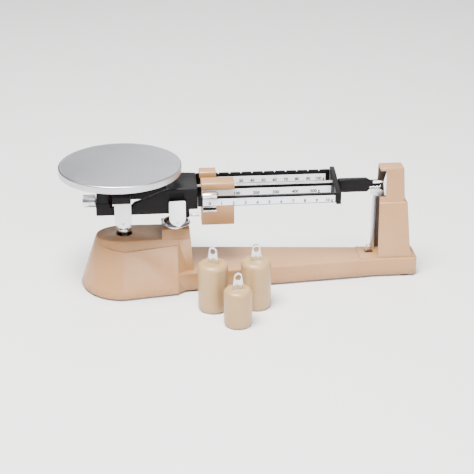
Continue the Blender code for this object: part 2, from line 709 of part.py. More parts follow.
def make_platform():
    lip = arc((PAN_RADIUS - PAN_LIP_ROUND, PAN_TOP_Z - PAN_LIP_ROUND), PAN_LIP_ROUND, 90, 0, 5)
    rim_low = PAN_TOP_Z - PAN_RIM
    inner = arc((PAN_RADIUS - PAN_LIP_ROUND, PAN_TOP_Z - PAN_LIP_ROUND),
                PAN_LIP_ROUND - PAN_SHEET, 0, 90, 3)
    profile = ([(0, PAN_TOP_Z)] + lip + [(PAN_RADIUS, rim_low), (PAN_RADIUS - PAN_SHEET, rim_low)]
               + inner + [(0, PAN_TOP_Z - PAN_SHEET)])
    turned("pan", platform, (0, 0, 0), profile, finish="stainless", steps=PAN_STEPS)
    top = PAN_TOP_Z - PAN_SHEET - GAP
    low = BOSS_LOW_Z + GAP
    turned("pan_boss", platform, (0, 0, 0),
           [(0, top), (0.0200, top), (0.0200, top - 0.0012), (0.0095, top - 0.0022), (0.0090, low),
            (0.0048, low), (0.0048, top - 0.0028), (0, top - 0.0024)], finish="black_paint")


# ---- beam ---------------------------------------------------------------
def frame_outline():
    crest = FRAME_CREST_Z
    return [(FRAME_LEFT_X, FRAME_LOW_Z), (0.0790, FRAME_LOW_Z), (0.0790, 0.0970), (0.0835, 0.0970),
            (0.0835, FRAME_END_LOW_Z), (FRAME_RIGHT_X, FRAME_END_LOW_Z), (FRAME_RIGHT_X, crest - 0.0012),
            (0.0730, crest), (0.0620, crest - 0.0006), (0.0540, crest - 0.0022), (0.0470, crest - 0.0047),
            (0.0400, crest - 0.0078), (0.0310, crest - 0.0122), (0.0220, crest - 0.0155),
            (0.0165, crest - 0.0172), (0.0110, FRAME_RAIL_Z), (FRAME_BLOCK_X - 0.0015, FRAME_RAIL_Z),
            (FRAME_BLOCK_X - 0.0030, FRAME_BLOCK_TOP_Z), (FRAME_LEFT_X, FRAME_BLOCK_TOP_Z)]


def knife_section(x, edge_up, gap=0.0):
    half = KNIFE_SIZE * 0.58 + gap
    if edge_up:
        return [(x - half, KNIFE_Z - KNIFE_SIZE - gap), (x + half, KNIFE_Z - KNIFE_SIZE - gap),
                (x, KNIFE_Z + gap)]
    return [(x - half, KNIFE_Z + KNIFE_SIZE + gap), (x, KNIFE_Z - gap),
            (x + half, KNIFE_Z + KNIFE_SIZE + gap)]


def make_beam_frame():
    frame = outlined("beam_frame", beam, frame_outline(), 2 * FRAME_HALF, "xz", (0, 0, 0),
                     "black_paint")
    round_edges(frame, 0.0008, 1, 50)
    inner = FRAME_HALF - RAIL_THICK
    gap_box = span_box("rail_gap", beam, (FRAME_BLOCK_X, -inner, 0.09), (FRAME_CREST_X, inner, 0.15))
    under_crest = span_box("crest_hollow", beam, (FRAME_CREST_X - 0.001, -inner, 0.09),
                           (FRAME_RIGHT_X - 0.004, inner, FRAME_CREST_Z - 0.004))
    recesses = [span_box(f"frame_recess_{side}", beam,
                         (FULCRUM_X - 0.009, side * FRAME_HALF - 0.0030, FULCRUM_COVER_TOP_Z + 0.0006),
                         (FULCRUM_X + 0.009, side * FRAME_HALF + 0.0030, 0.1300)) for side in (-1, 1)]
    tail_gap = span_box("tail_gap", beam, (FRAME_LEFT_X - 0.01, -inner, 0.09),
                        (FRAME_BLOCK_X + 0.001, inner, FRAME_LOW_Z + 0.003))
    for tool in (gap_box, under_crest, tail_gap, *recesses):
        cut(frame, tool)
    knives = (("fulcrum_knife", FULCRUM_X, False, STATION_Y + STATION_HALF - 0.001),
              ("pan_knife", PIVOT_X, True, STATION_Y + STATION_HALF - HANGER_LEG - 0.0006))
    for name, x, up, reach in knives:
        cut(frame, outlined(name + "_seat", beam, knife_section(x, up, GAP), 0.2, "xz"))
        outlined(name, beam, knife_section(x, up), 2 * reach, "xz", (0, 0, 0), "knife_steel")
    stud_hole = rod("stud_hole", beam, (FRAME_LEFT_X, 0, KNOB_Z), STUD_RADIUS + GAP, 0.024, "x",
                    steps=SMALL_STEPS)
    cut(frame, stud_hole)
    tail_hole = rod("tail_screw_hole", beam, (0.0812, -STATION_Y, 0.0995), 0.0015 + GAP, 0.02, "x",
                    steps=SMALL_STEPS)
    cut(frame, tail_hole)


def make_beam_hardware():
    stud_left = FRAME_LEFT_X - RUN_GAP - KNOB_LENGTH - 0.001
    stud_right = FRAME_LEFT_X + 0.0115
    rod("zero_stud", beam, ((stud_left + stud_right) / 2, 0, KNOB_Z), STUD_RADIUS,
        stud_right - stud_left, "x", "knife_steel", SMALL_STEPS)
    profile = [(0, 0.0120), (0.0015, 0.0120), (0.0022, 0.0113), (0.0022, 0.0026), (0.0015, 0.0020),
               (0.0015, -0.0025), (0, -0.0025)]
    turned("balance_screw", beam, (0.0838, -STATION_Y, 0.0995), profile, "x", "aluminium", SMALL_STEPS)


def notched_bar(name, y, heights, zero_x, travel, steps, finish):
    low, high = heights
    left = FRAME_RIGHT_X + GAP
    right = BAR_END_X
    points = [(left, low), (right, low), (right, high)]
    for i in range(steps, -1, -1):
        x = zero_x + travel * i / steps
        points += [(x + NOTCH_DEPTH * 0.6, high), (x, high - NOTCH_DEPTH), (x - NOTCH_DEPTH * 0.6, high)]
    points.append((left, high))
    outlined(name, beam, points, BAR_THICK, "xz", (0, y, 0), finish)


def plain_bar(name, y, heights, finish):
    span_box(name, beam, (FRAME_RIGHT_X + GAP, y - BAR_THICK / 2, heights[0]),
             (BAR_END_X, y + BAR_THICK / 2, heights[1]), finish)


def scale_strip(name, y, heights, right):
    face = y - BAR_THICK / 2 - GAP
    low = heights[0] + SCALE_MARGIN
    span_box(name, beam, (0.1005, face - SCALE_THICK, low), (right, face, low + SCALE_HEIGHT),
             "scale_white")


def make_bars():
    plain_bar("front_bar", FRONT_BAR_Y, FRONT_BAR_Z, "black_paint")
    notched_bar("centre_bar", CENTRE_BAR_Y, CENTRE_BAR_Z, CENTRE_ZERO_X, CENTRE_TRAVEL, CENTRE_STEPS,
                "black_paint")
    notched_bar("rear_bar", REAR_BAR_Y, REAR_BAR_Z, REAR_ZERO_X, REAR_TRAVEL, REAR_STEPS,
                "black_paint")
    scale_strip("front_scale", FRONT_BAR_Y, FRONT_BAR_Z, 0.2652)
    scale_strip("centre_scale", CENTRE_BAR_Y, CENTRE_BAR_Z, 0.2640)
    scale_strip("rear_scale", REAR_BAR_Y, REAR_BAR_Z, 0.2605)


def make_beam_end():
    left = BAR_END_X + GAP
    right = left + CROSSHEAD_THICK
    front_y, rear_y = FRONT_BAR_Y - 0.0055, REAR_BAR_Y + 0.0030
    section = [(front_y, FRONT_BAR_Z[0] - 0.001), (-0.012, FRONT_BAR_Z[0] - 0.001),
               (0.012, CENTRE_BAR_Z[0] - 0.001), (rear_y, REAR_BAR_Z[0] - 0.001),
               (rear_y, REAR_BAR_Z[1] + 0.003), (0.020, REAR_BAR_Z[1] + 0.0015),
               (0.004, CENTRE_BAR_Z[1] + 0.003), (-0.012, CENTRE_BAR_Z[1] - 0.001),
               (front_y, FRONT_BAR_Z[1] + 0.002)]
    outlined("crosshead", beam, section, CROSSHEAD_THICK, "yz", ((left + right) / 2, 0, 0),
             "black_paint")
    arm_left = right + GAP
    arm = [(arm_left, ARM_LOW_Z), (ARM_SHOULDER_X - 0.004, ARM_LOW_Z), (ARM_SHOULDER_X, TONGUE_LOW_Z),
           (ARM_END_X, TONGUE_LOW_Z), (ARM_END_X, TONGUE_TOP_Z), (ARM_SHOULDER_X, TONGUE_TOP_Z),
           (ARM_SHOULDER_X - 0.005, ARM_TOP_Z), (arm_left, ARM_TOP_Z)]
    pointer_arm = outlined("pointer_arm", beam, arm, ARM_THICK, "xz", (0, 0, 0), "black_paint")
    round_edges(pointer_arm, 0.0015, 2, 40)
    face = -ARM_THICK / 2 - GAP
    pointer = [(0.3165, POINTER_Z - 0.0016), (0.3250, POINTER_Z - 0.0016), (0.3295, POINTER_Z),
               (0.3250, POINTER_Z + 0.0016), (0.3165, POINTER_Z + 0.0016)]
    outlined("pointer", beam, pointer, 0.0006, "xz", (0, face - 0.0003, 0), "white_plastic")
    make_hook(face)
    bracket_z = TONGUE_LOW_Z - GAP
    bracket = [(-0.0035, bracket_z - 0.0015), (0.0006, bracket_z - 0.0015), (0.0006, bracket_z - 0.0075),
               (0.0018, bracket_z - 0.0075), (0.0018, bracket_z - 0.0015), (0.0035, bracket_z - 0.0015),
               (0.0035, bracket_z), (-0.0035, bracket_z)]
    outlined("vane_bracket", beam, bracket, 0.0105, "yz", (0.3200, 0, 0), "aluminium")
    low, high = VANE_Z
    vane = [(0.3152, high + 0.0035), (0.3152, high - 0.0035), (VANE_X[0], high - 0.0070),
            (VANE_X[0], low), (VANE_X[1], low), (VANE_X[1], high - 0.0035), (0.3265, high + 0.0035)]
    outlined("damper_vane", beam, vane, VANE_THICK, "xz", (0, 0, 0), "aluminium")


def make_hook(face):
    """Bent wire on the tongue's side that the attachment weights hang from."""
    y = face - 0.0026
    z = TONGUE_LOW_Z + 0.0034
    curve = bpy.data.curves.new("weight_hook", "CURVE")
    curve.dimensions = "3D"
    curve.bevel_depth = 0.0010
    curve.bevel_resolution = 2
    curve.use_fill_caps = True
    route = [(0.3118, face, z), (0.3118, face - 0.0014, z), (0.3122, y + 0.0004, z), (0.3132, y, z),
             (0.3240, y, z), (0.3248, y, z + 0.0004), (0.3252, y, z + 0.0012), (0.3252, y, z + 0.0026)]
    spline = curve.splines.new("POLY")
    spline.points.add(len(route) - 1)
    for point, place in zip(spline.points, route):
        point.co = (*place, 1)
    drawn = bpy.data.objects.new("hook_wire", curve)
    bpy.context.scene.collection.objects.link(drawn)
    mesh = evaluated_mesh(drawn, "weight_hook")
    bpy.data.objects.remove(drawn)
    form = bmesh.new()
    form.from_mesh(mesh)
    bmesh.ops.remove_doubles(form, verts=form.verts, dist=0.000005)
    face_outward(form)
    form.to_mesh(mesh)
    form.free()
    mesh.name = "weight_hook"
    add_object("weight_hook", mesh, beam, finish="bright_steel")


def poise_section(bar_y, heights, front, bar_heights, wall):
    """C-shaped section, open to the front over the scale, with its spine behind the bar."""
    low, floor, lip, top = heights
    back_in = bar_y + BAR_THICK / 2 + RUN_GAP
    back_out = back_in + wall
    roof = bar_heights[1] + RUN_GAP
    bar_front = bar_y - BAR_THICK / 2 - GAP - SCALE_THICK - RUN_GAP
    front_y = bar_y - front
    return [(front_y, low), (back_out, low), (back_out, top), (front_y + 0.0012, top),
            (front_y, top - 0.0012), (front_y, lip), (bar_front, lip), (bar_front, roof),
            (back_in, roof), (back_in, floor), (front_y, floor)]


def make_poises():
    rows = (("front_poise", FRONT_BAR_Y, RIDER_Z, RIDER_FRONT, FRONT_BAR_Z, FRONT_ZERO_X, RIDER_WIDTH,
             0.0012, "bright_steel"),
            ("centre_poise", CENTRE_BAR_Y, CENTRE_POISE_Z, CENTRE_POISE_FRONT, CENTRE_BAR_Z,
             CENTRE_ZERO_X, CENTRE_POISE_WIDTH, POISE_WALL, "beige_paint"),
            ("rear_poise", REAR_BAR_Y, REAR_POISE_Z, REAR_POISE_FRONT, REAR_BAR_Z, REAR_ZERO_X,
             REAR_POISE_WIDTH, POISE_BACK, "beige_paint"))
    for name, bar_y, heights, front, bar_z, zero_x, width, wall, finish in rows:
        slide = axis_empty(name + "_slide", (zero_x, bar_y, bar_z[1]), beam)
        section = poise_section(bar_y, heights, front, bar_z, wall)
        outlined(name, slide, section, width, "yz", (zero_x, 0, 0), finish)


def make_zero_knob():
    right = FRAME_LEFT_X - RUN_GAP
    left = right - KNOB_LENGTH
    knob_axis = axis_empty("zero_knob_axis", ((left + right) / 2, 0, KNOB_Z), beam)
    half = KNOB_LENGTH / 2
    bore = STUD_RADIUS + GAP
    profile = [(bore, half), (KNOB_RADIUS - 0.0008, half), (KNOB_RADIUS, half - 0.0008),
               (KNOB_RADIUS, 0.0006), (KNOB_RADIUS - 0.0007, 0.0003), (KNOB_RADIUS - 0.0007, -0.0003),
               (KNOB_RADIUS, -0.0006), (KNOB_RADIUS, -half + 0.0008), (KNOB_RADIUS - 0.0008, -half),
               (bore, -half)]
    knob = turned("zero_knob", knob_axis, ((left + right) / 2, 0, KNOB_Z), profile, "x",
                  "bright_steel", closed=True)
    knurl = span_box("knob_slot", knob_axis, (right - 0.0060, -0.00055, KNOB_Z + KNOB_RADIUS - 0.0009),
                     (right + 0.001, 0.00055, KNOB_Z + KNOB_RADIUS + 0.001))
    cut(knob, knurl)


# ---- tower --------------------------------------------------------------
def tower_plan(left, right, half, corner=0.0012):
    front = [(left, -half), (right - corner, -half), (right, -half + corner)]
    return mirrored(front)


def tower_sections(inset, left_x, low, high):
    """Flared foot, drafted lower stage, a step, then the upper stage."""
    rows = [(BED_TOP_Z + PAD_HEIGHT + GAP, TOWER_FOOT_X, TOWER_FOOT_HALF),
            (TOWER_FLARE_Z, TOWER_LOW_X, TOWER_FOOT_HALF - 0.0007),
            (TOWER_STEP_Z - 0.0006, TOWER_STEP_X, TOWER_STEP_HALF),
            (TOWER_STEP_Z, TOWER_STEP_X - 0.0006, TOWER_STEP_HALF - 0.0006),
            (TOWER_STEP_Z + 0.0006, TOWER_UPPER_X, TOWER_UPPER_HALF),
            (TOWER_TOP_Z, TOWER_TOP_X, TOWER_TOP_HALF)]
    shift = -0.002 if inset else 0.0
    sections = []
    for z, right, half in rows:
        sections.append((z + shift, tower_plan(left_x, right - inset, half - inset)))
    sections[0] = (low, sections[0][1])
    sections[-1] = (high, sections[-1][1])
    return sections


def make_tower():
    foot_z = BED_TOP_Z + PAD_HEIGHT + GAP
    shell = loft("tower_shell", base, tower_sections(0.0, TOWER_LEFT_X, foot_z, TOWER_TOP_Z),
                 "beige_paint")
    round_edges(shell, 0.0006, 1, 60)
    inside = loft("tower_hollow", base,
                  tower_sections(TOWER_WALL, TOWER_LEFT_X - 0.01, foot_z - 0.001, TOWER_TOP_Z - 0.003))
    cut(shell, inside)
    window = span_box("tower_window", base, (TOWER_LEFT_X - 0.01, -0.03, WINDOW_Z[0]),
                      (WINDOW_X, -0.004, WINDOW_Z[1] - 0.0015))
    cut(shell, window)
    boss = rod("tower_boss", base, (TOWER_SCREW_X, 0, foot_z + 0.0065), 0.0038, 0.013, steps=SMALL_STEPS)
    web = span_box("tower_boss_web", base, (TOWER_SCREW_X, -0.0014, foot_z + 0.001),
                   (TOWER_LOW_X - 0.0008, 0.0014, foot_z + 0.0125))
    fuse(shell, boss)
    fuse(shell, web)
    tap = rod("tower_tap", base, (TOWER_SCREW_X, 0, foot_z + 0.003), 0.0015 + GAP, 0.016,
              steps=SMALL_STEPS)
    cut(shell, tap)
    head_z = BED_TOP_Z - WALL - GAP
    turned("tower_screw", base, (TOWER_SCREW_X, 0, 0),
           [(0, head_z + 0.0130), (0.0015, head_z + 0.0130), (0.0015, head_z), (0.0030, head_z),
            (0.0030, head_z - 0.0010), (0.0022, head_z - 0.0018), (0, head_z - 0.0018)],
           finish="bright_steel", steps=SMALL_STEPS)
    plate_y = -(TOWER_TOP_HALF - TOWER_WALL - 0.0005)
    index = [(0.3325, 0.1425), (0.3292, POINTER_Z), (0.3315, 0.1095), (0.3400, 0.1095), (0.3400, 0.1425)]
    outlined("index_plate", base, index, 0.0007, "xz", (0, plate_y, 0), "white_plastic")


def make_damper():
    foot_z = BED_TOP_Z + PAD_HEIGHT + GAP
    arm_in = MAGNET_GAP / 2
    arm_out = arm_in + MAGNET_THICK
    section = [(-arm_out, foot_z), (arm_out, foot_z), (arm_out, MAGNET_TOP_Z), (arm_in, MAGNET_TOP_Z),
               (arm_in, foot_z + MAGNET_BASE), (-arm_in, foot_z + MAGNET_BASE), (-arm_in, MAGNET_TOP_Z),
               (-arm_out, MAGNET_TOP_Z)]
    outlined("damper_magnet", base, section, VANE_X[1] - VANE_X[0] - 0.004, "yz",
             ((VANE_X[0] + VANE_X[1]) / 2, 0, 0), "magnet_grey")
    right = TOWER_LEFT_X - GAP
    plate = [(right - 0.0055, foot_z), (right, foot_z), (right, TOWER_STEP_Z + 0.001),
             (right - 0.0025, TOWER_STEP_Z + 0.0035), (right - 0.0050, TOWER_STEP_Z),
             (right - 0.0062, 0.066), (right - 0.0055, 0.062)]
    outlined("damper_side_plate", base, plate, 0.0012, "xz", (0, 0.0093, 0), "aluminium")


def make_clip():
    """Spring strip that rises through the slot and curls over."""
    centre = (CLIP_X + 0.0030, BED_TOP_Z + PAD_HEIGHT + 0.0062)
    outer = arc(centre, 0.0034, 180, 20, 11)
    inner = arc(centre, 0.0026, 20, 180, 11)
    low = BED_TOP_Z - WALL - 0.003
    strip = [(centre[0] - 0.0034, low)] + outer + inner + [(centre[0] - 0.0026, low)]
    outlined("spring_clip", base, strip, 0.0040, "xz", (0, 0.0033, 0), "bright_steel")


# ---- attachment weights -------------------------------------------------
def make_weight(label, x, y, radius, height, turn):
    lift = axis_empty(f"weight_{label}_lift", (x, y, 0), base)
    rounding = 0.0055
    shoulder = arc((radius - rounding, height - rounding), rounding, 90, 0, 7)
    lower = arc((radius + WEIGHT_FLARE - 0.0040, 0.0040), 0.0040, 0, -90, 5)
    profile = ([(0, height)] + shoulder + lower
               + [(0.0075, 0.0), (0.0075, 0.0020), (0, 0.0020)])
    body = turned(f"weight_{label}", lift, (x, y, 0), profile, finish="weight_paint", steps=40)
    slot_size = (EYE_WIDTH + 2 * GAP, EYE_THICK + 2 * GAP, 2 * (EYE_SET + GAP))
    slot = add_object(f"eye_slot_{label}", box_mesh("eye_slot", slot_size), lift, (x, y, height),
                      (0, 0, math.radians(turn)))
    cut(body, slot)
    top_radius = EYE_WIDTH * 0.36
    half = EYE_WIDTH / 2
    crown = arc((0, EYE_HEIGHT - top_radius), top_radius, 20, 160, 11)
    edge = [(-half, 0.0040), (-half, -EYE_SET), (half, -EYE_SET), (half, 0.0040)]
    hole = arc((0, EYE_HEIGHT - top_radius - 0.0014), EYE_HOLE, 0, 345, 24)
    outlined(f"weight_eye_{label}", lift, [crown + edge, hole], EYE_THICK, "xz", (x, y, height),
             "bright_steel", (0, 0, math.radians(turn)))


make_base_casting()
make_feet()
make_fulcrum()
make_check_link()
make_beam_frame()
make_beam_hardware()
make_bars()
make_beam_end()
make_zero_knob()
make_poises()
make_pan_carrier()
platform = axis_empty("platform_lift", (0, 0, PAN_TOP_Z), carrier)
make_platform()
make_tower()
make_damper()
make_clip()
for weight_name, weight in WEIGHTS.items():
    make_weight(weight_name, *weight)
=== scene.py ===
import json
import math

import bmesh
import bpy
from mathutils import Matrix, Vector

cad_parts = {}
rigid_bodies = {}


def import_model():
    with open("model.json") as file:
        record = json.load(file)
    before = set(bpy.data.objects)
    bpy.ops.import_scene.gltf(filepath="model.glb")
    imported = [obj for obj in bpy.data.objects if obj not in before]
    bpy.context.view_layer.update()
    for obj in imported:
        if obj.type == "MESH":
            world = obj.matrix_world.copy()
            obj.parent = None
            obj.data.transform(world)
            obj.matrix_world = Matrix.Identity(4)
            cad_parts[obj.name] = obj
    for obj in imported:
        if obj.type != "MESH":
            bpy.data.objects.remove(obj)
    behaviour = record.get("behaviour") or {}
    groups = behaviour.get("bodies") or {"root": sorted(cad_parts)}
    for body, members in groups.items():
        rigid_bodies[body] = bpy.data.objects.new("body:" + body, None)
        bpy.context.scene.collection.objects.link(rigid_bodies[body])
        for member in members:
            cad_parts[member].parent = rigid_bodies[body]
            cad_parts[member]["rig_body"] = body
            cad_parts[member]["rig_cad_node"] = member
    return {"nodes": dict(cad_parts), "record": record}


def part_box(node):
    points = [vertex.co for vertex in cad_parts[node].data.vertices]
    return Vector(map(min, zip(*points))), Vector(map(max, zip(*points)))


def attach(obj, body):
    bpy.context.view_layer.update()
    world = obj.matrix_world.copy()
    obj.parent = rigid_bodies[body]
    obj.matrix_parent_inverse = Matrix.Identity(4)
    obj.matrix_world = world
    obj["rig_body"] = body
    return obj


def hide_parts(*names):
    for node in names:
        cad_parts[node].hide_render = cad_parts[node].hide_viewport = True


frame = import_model()
nodes = frame["nodes"]
record = frame["record"]
slotOf = {part["node"]: part["material_slot"] for part in record["subparts"]}
bodyOf = {node: body for body, members in record["behaviour"]["bodies"].items() for node in members}
jointOf = {joint["name"]: joint for joint in record["behaviour"]["joints"]}


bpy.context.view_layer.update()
print("frame loaded")


class Field:
    def __init__(self, look, socket):
        self.look = look
        self.socket = socket

    def math(self, operation, first, second):
        return self.look.node("ShaderNodeMath", {"operation": operation}, {0: first, 1: second})

    def __add__(self, other):
        return self.math("ADD", self, other)

    __radd__ = __add__

    def __mul__(self, other):
        return self.math("MULTIPLY", self, other)

    __rmul__ = __mul__

    def __sub__(self, other):
        return self.math("SUBTRACT", self, other)

    def __rsub__(self, other):
        return self.math("SUBTRACT", other, self)


class Look:
    def __init__(self, name, metallic=0.0, coat=0.0, coatRoughness=0.1):
        self.material = bpy.data.materials.new(name)
        self.material.use_nodes = True
        self.tree = self.material.node_tree
        self.shader = self.tree.nodes["Principled BSDF"]
        self.shader.inputs["Metallic"].default_value = metallic
        self.shader.inputs["Coat Weight"].default_value = coat
        self.shader.inputs["Coat Roughness"].default_value = coatRoughness
        self.place = self.node("ShaderNodeTexCoord", {}, {}, "Object")

    def node(self, kind, settings, values, output=0):
        made = self.tree.nodes.new(kind)
        for key, value in settings.items():
            setattr(made, key, value)
        for key, value in values.items():
            if isinstance(value, Field):
                self.tree.links.new(value.socket, made.inputs[key])
            elif isinstance(value, tuple) and made.inputs[key].type == "RGBA":
                made.inputs[key].default_value = (*value, 1)
            else:
                made.inputs[key].default_value = value
        return Field(self, made.outputs[output])

    def noise(self, scale, detail=4, roughness=0.55, stretch=None):
        where = self.place
        if stretch:
            where = self.node("ShaderNodeVectorMath", {"operation": "MULTIPLY"}, {0: where, 1: stretch})
        return self.node("ShaderNodeTexNoise", {},
                         {"Vector": where, "Scale": scale, "Detail": detail, "Roughness": roughness})

    def ramp(self, value, low, high):
        return self.node("ShaderNodeMapRange", {"clamp": True},
                         {"Value": value, "From Min": low, "From Max": high})

    def mix(self, factor, first, second):
        # a colour Mix node has its colours at inputs 6 and 7 and its result at output 2
        return self.node("ShaderNodeMix", {"data_type": "RGBA"}, {0: factor, 6: first, 7: second}, 2)

    def height(self):
        return self.node("ShaderNodeSeparateXYZ", {}, {0: self.place}, "Z")

    def put(self, name, value):
        if isinstance(value, Field):
            self.tree.links.new(value.socket, self.shader.inputs[name])
        elif isinstance(value, tuple):
            self.shader.inputs[name].default_value = (*value, 1)
        else:
            self.shader.inputs[name].default_value = value

    def bump(self, height, strength, distance):
        self.put("Normal", self.node("ShaderNodeBump", {}, {
            "Strength": strength, "Distance": distance, "Height": height}, "Normal"))


enamel = {
    "beige": (0.370, 0.187, 0.074),
    "beigePale": (0.420, 0.224, 0.097),
    # dark colour for the dirt specks and smudges, also used for the darker bottom band
    "beigeGrime": (0.165, 0.080, 0.036),
    "weight": (0.372, 0.228, 0.096),
    "weightPale": (0.425, 0.273, 0.126),
    "weightGrime": (0.320, 0.215, 0.130),
    "roughness": 0.36,
    "peelScale": 900.0,      # orange peel, cells per metre
    "darkBottomHeight": 0.012,    # the colour darkens towards the bottom, fading out over this height
}


def enamelLook(name, base, pale, grime):
    look = Look(name, coat=0.25, coatRoughness=0.22)
    broad = look.ramp(look.noise(14, 3), 0.35, 0.68)
    fine = look.ramp(look.noise(260, 5), 0.30, 0.72)
    specks = look.ramp(look.noise(1500, 2), 0.735, 0.775)
    # the part gets darker towards its bottom, on top of the dirt specks and smudges
    low = look.ramp(look.height(), enamel["darkBottomHeight"], 0.001)
    smudge = look.ramp(look.noise(38, 6, 0.65), 0.52, 0.80)
    dirtAndDarkBottom = low * (0.25 + fine * 0.5) + smudge * 0.10 + specks * 0.30
    tone = look.mix(broad * 0.8, base, pale)
    look.put("Base Color", look.mix(dirtAndDarkBottom, tone, grime))
    look.put("Roughness", enamel["roughness"] + fine * 0.08 + smudge * 0.12 + low * 0.12)
    look.bump(look.noise(enamel["peelScale"], 2) + look.noise(120, 2) * 0.4, 0.10, 0.0004)
    return look.material


black = {
    "colour": (0.0040, 0.0036, 0.0042),
    "worn": (0.022, 0.020, 0.019),
    "dust": (0.230, 0.215, 0.200),
    "roughness": 0.30,
    "sheen": 0.10,
    "bareSteel": (0.640, 0.630, 0.610),
    "bareBand": 0.0021,      # bright strip along the centre bar's top
}


def blackLook(name, bareFrom=None):
    look = Look(name, coat=0.02, coatRoughness=0.2)
    look.put("Specular IOR Level", black["sheen"])
    fine = look.ramp(look.noise(420, 4), 0.32, 0.70)
    rubbed = look.ramp(look.noise(75, 6, 0.7), 0.60, 0.78)
    scratch = look.ramp(look.noise(300, 3, 0.5, stretch=(0.06, 1.0, 1.0)), 0.655, 0.700)
    dust = look.ramp(look.noise(2200, 2), 0.700, 0.760) * 0.25
    colour = look.mix(rubbed * 0.35 + scratch * 0.25, black["colour"], black["worn"])
    colour = look.mix(dust, colour, black["dust"])
    roughness = black["roughness"] + fine * 0.10 + rubbed * 0.14
    if bareFrom is not None:
        bare = look.ramp(look.height() + (fine - 0.5) * 0.0004, bareFrom - 0.00012, bareFrom + 0.00012)
        grain = look.ramp(look.noise(900, 3, 0.6, stretch=(0.05, 1.0, 1.0)), 0.30, 0.70)
        colour = look.mix(bare, colour, look.mix(grain, black["bareSteel"], (0.82, 0.81, 0.79)))
        roughness = roughness + bare * 0.05
        look.put("Metallic", bare * 0.85)
    look.put("Base Color", colour)
    look.put("Roughness", roughness)
    look.bump(look.noise(1400, 2) + fine * 0.5, 0.10, 0.0003)
    return look.material


plastic = {
    "white": (0.94, 0.94, 0.98),
    "shade": (0.86, 0.85, 0.88),
    "yellowed": (0.86, 0.82, 0.74),
    "roughness": 0.28,
}


def plasticLook(name):
    look = Look(name, coat=0.15, coatRoughness=0.2)
    cloud = look.ramp(look.noise(60, 4), 0.35, 0.70)
    scuff = look.ramp(look.noise(520, 4, 0.7, stretch=(1.0, 1.0, 0.15)), 0.66, 0.74)
    aged = look.ramp(look.noise(25, 3), 0.55, 0.80)
    colour = look.mix(cloud * 0.35 + scuff * 0.35, plastic["white"], plastic["shade"])
    look.put("Base Color", look.mix(aged * 0.20, colour, plastic["yellowed"]))
    look.put("Roughness", plastic["roughness"] + cloud * 0.08 + scuff * 0.22)
    look.bump(look.noise(1100, 2), 0.05, 0.0003)
    return look.material


strip = {"white": (0.83, 0.88, 0.96), "pale": (0.92, 0.94, 0.98), "smear": (0.55, 0.55, 0.55)}


def stripLook(name):
    look = Look(name, coat=0.1)
    broad = look.ramp(look.noise(45, 3, stretch=(0.3, 1.0, 1.0)), 0.35, 0.68)
    rub = look.ramp(look.noise(260, 5, 0.7, stretch=(0.12, 1.0, 1.0)), 0.63, 0.75)
    look.put("Base Color", look.mix(rub * 0.30, look.mix(broad, strip["white"], strip["pale"]),
                                    strip["smear"]))
    look.put("Roughness", 0.38 + rub * 0.22)
    look.bump(look.noise(1600, 2), 0.04, 0.0002)
    return look.material


metals = {
    "stainless": {"dark": (0.46, 0.46, 0.50), "light": (0.65, 0.65, 0.69), "rough": 0.29},
    "bright": {"dark": (0.58, 0.58, 0.60), "light": (0.80, 0.80, 0.81), "rough": 0.16},
    "knife": {"dark": (0.17, 0.175, 0.19), "light": (0.34, 0.345, 0.36), "rough": 0.28},
    "aluminium": {"dark": (0.58, 0.585, 0.60), "light": (0.78, 0.78, 0.79), "rough": 0.34},
}


def metalLook(name, kind, stretch, grainScale=500, strength=0.10):
    tone = metals[kind]
    look = Look(name, metallic=1.0)
    cloud = look.ramp(look.noise(40, 4), 0.32, 0.70)
    grain = look.ramp(look.noise(grainScale, 5, 0.65, stretch=stretch), 0.28, 0.72)
    smudge = look.ramp(look.noise(55, 6, 0.7), 0.58, 0.80)
    stain = look.ramp(look.noise(700, 3), 0.70, 0.78)
    colour = look.mix(cloud * 0.45 + grain * 0.50, tone["dark"], tone["light"])
    look.put("Base Color", look.mix(stain * 0.25, colour, (0.30, 0.24, 0.18)))
    look.put("Roughness", tone["rough"] + grain * 0.08 + smudge * 0.14)
    look.bump(grain, strength, 0.00015)
    return look.material


pan = {
    "segments": 192,
    "lip": 0.0019,           # radius of the rolled lip
    "sheet": 0.0011,
    "dish": 0.00012,         # depth of the flat inside the lip
    "brushScale": 1500.0,    # turning marks per metre of radius
    "brushDepth": 0.12,
}


def panLook(name, centre):
    tone = metals["stainless"]
    look = Look(name, metallic=1.0)
    around = look.node("ShaderNodeVectorMath", {"operation": "SUBTRACT"},
                       {0: look.place, 1: (centre.x, centre.y, 0)})
    flat = look.node("ShaderNodeVectorMath", {"operation": "MULTIPLY"}, {0: around, 1: (1, 1, 0)})
    radius = look.node("ShaderNodeVectorMath", {"operation": "LENGTH"}, {0: flat}, "Value")
    turning = look.node("ShaderNodeTexNoise", {"noise_dimensions": "1D"},
                        {"W": radius, "Scale": pan["brushScale"], "Detail": 3})
    marks = look.ramp(turning, 0.25, 0.75)
    cloud = look.ramp(look.noise(11, 4), 0.30, 0.70)
    smudge = look.ramp(look.noise(34, 7, 0.68), 0.55, 0.82)
    scratch = look.ramp(look.noise(210, 3, 0.5, stretch=(0.10, 1.0, 1.0)), 0.690, 0.725)
    colour = look.mix(cloud * 0.55 + marks * 0.30, tone["dark"], tone["light"])
    look.put("Base Color", look.mix(scratch * 0.35, colour, (0.86, 0.86, 0.88)))
    look.put("Roughness", tone["rough"] + marks * 0.07 + smudge * 0.12 - scratch * 0.06)
    look.bump(marks + scratch * 0.6, pan["brushDepth"], 0.0001)
    return look.material


def plainLook(name, colour, second, rough, scale, metallic=0.0, strength=0.15):
    look = Look(name, metallic=metallic)
    grain = look.ramp(look.noise(scale, 5, 0.65), 0.30, 0.70)
    patch = look.ramp(look.noise(scale * 0.12, 4), 0.40, 0.70)
    look.put("Base Color", look.mix(grain * 0.5 + patch * 0.4, colour, second))
    look.put("Roughness", rough + grain * 0.12)
    look.bump(grain, strength, 0.0003)
    return look.material
